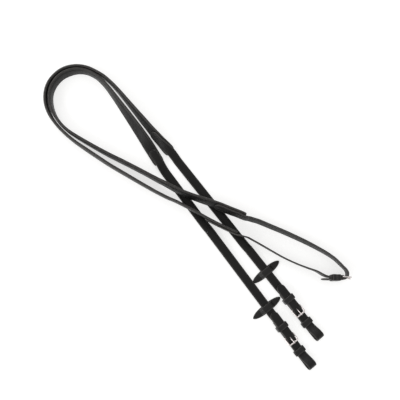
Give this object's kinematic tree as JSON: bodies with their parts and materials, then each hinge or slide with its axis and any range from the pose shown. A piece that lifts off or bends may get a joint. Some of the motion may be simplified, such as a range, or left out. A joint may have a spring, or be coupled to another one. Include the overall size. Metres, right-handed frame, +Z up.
{
  "type": "leather reins",
  "caption": "Black leather riding reins folded on a table, with padded grips, sliding rein stops, buckled bit ends and a buckled centre join.",
  "frame": {"origin": "on the floor under the middle of the lay (centre of the bounding box, z = 0)", "axes": "+X along the front straps towards the bit ends, +Y from the near rein's bit end towards the centre buckle, +Z up"},
  "size_m": [0.68, 0.2566, 0.0235],
  "materials": {
    "strap_leather": "smooth waxed",
    "thin_leather": "smooth waxed",
    "grip_leather": "soft matte",
    "stop_leather": "smooth",
    "core_rubber": "matte",
    "steel": "polished"
  },
  "bodies": {
    "reins": {"front_strap_a": "strap_leather", "billet_a": "strap_leather", "chape_a": "thin_leather", "fixed_keeper_a": "thin_leather", "grip_core_a": "core_rubber", "grip_sleeve_a": "grip_leather", "hand_strap_a": "strap_leather", "front_strap_b": "strap_leather", "billet_b": "strap_leather", "chape_b": "thin_leather", "fixed_keeper_b": "thin_leather", "grip_core_b": "core_rubber", "grip_sleeve_b": "grip_leather", "hand_strap_b": "strap_leather", "centre_chape": "thin_leather", "centre_keeper_1": "thin_leather", "centre_keeper_2": "thin_leather"},
    "frame_a": {"buckle_frame_a": "steel"},
    "tongue_a": {"buckle_tongue_a": "steel"},
    "runner_a": {"runner_keeper_a": "thin_leather"},
    "stop_a": {"rein_stop_a": "stop_leather"},
    "frame_b": {"buckle_frame_b": "steel"},
    "tongue_b": {"buckle_tongue_b": "steel"},
    "runner_b": {"runner_keeper_b": "thin_leather"},
    "stop_b": {"rein_stop_b": "stop_leather"},
    "frame_centre": {"centre_frame": "steel"},
    "tongue_centre": {"centre_tongue": "steel"}
  },
  "joints": [
    {"name": "stop_slide_a", "type": "slide", "parent": "reins", "child": "stop_a", "axis": [0.9998, -0.0209, 0], "range_m": [-0.02, 0]},
    {"name": "runner_slide_a", "type": "slide", "parent": "reins", "child": "runner_a", "axis": [0.9998, -0.0209, 0], "range_m": [-0.009, 0.001]},
    {"name": "frame_hinge_a", "type": "hinge", "parent": "reins", "child": "frame_a", "pos_m": [0.272, -0.0305, 0.0065], "axis": [-0.0209, -0.9998, 0], "range_deg": [0, 8]},
    {"name": "tongue_hinge_a", "type": "hinge", "parent": "frame_a", "child": "tongue_a", "pos_m": [0.272, -0.0305, 0.0065], "axis": [-0.0209, -0.9998, 0], "range_deg": [0, 10]},
    {"name": "stop_slide_b", "type": "slide", "parent": "reins", "child": "stop_b", "axis": [0.9999, 0.0105, 0], "range_m": [-0.016, 0.014]},
    {"name": "runner_slide_b", "type": "slide", "parent": "reins", "child": "runner_b", "axis": [0.9999, 0.0105, 0], "range_m": [-0.009, 0.001]},
    {"name": "frame_hinge_b", "type": "hinge", "parent": "reins", "child": "frame_b", "pos_m": [0.2425, 0.0106, 0.0065], "axis": [0.0105, -0.9999, 0], "range_deg": [0, 8]},
    {"name": "tongue_hinge_b", "type": "hinge", "parent": "frame_b", "child": "tongue_b", "pos_m": [0.2425, 0.0106, 0.0065], "axis": [0.0105, -0.9999, 0], "range_deg": [0, 10]},
    {"name": "frame_hinge_centre", "type": "hinge", "parent": "reins", "child": "frame_centre", "pos_m": [0.2533, 0.1119, 0.01075], "axis": [0, 0, -1], "range_deg": [0, 4]},
    {"name": "tongue_hinge_centre", "type": "hinge", "parent": "frame_centre", "child": "tongue_centre", "pos_m": [0.2533, 0.1119, 0.01075], "axis": [0, 0, -1], "range_deg": [0, 2.5]}
  ]
}
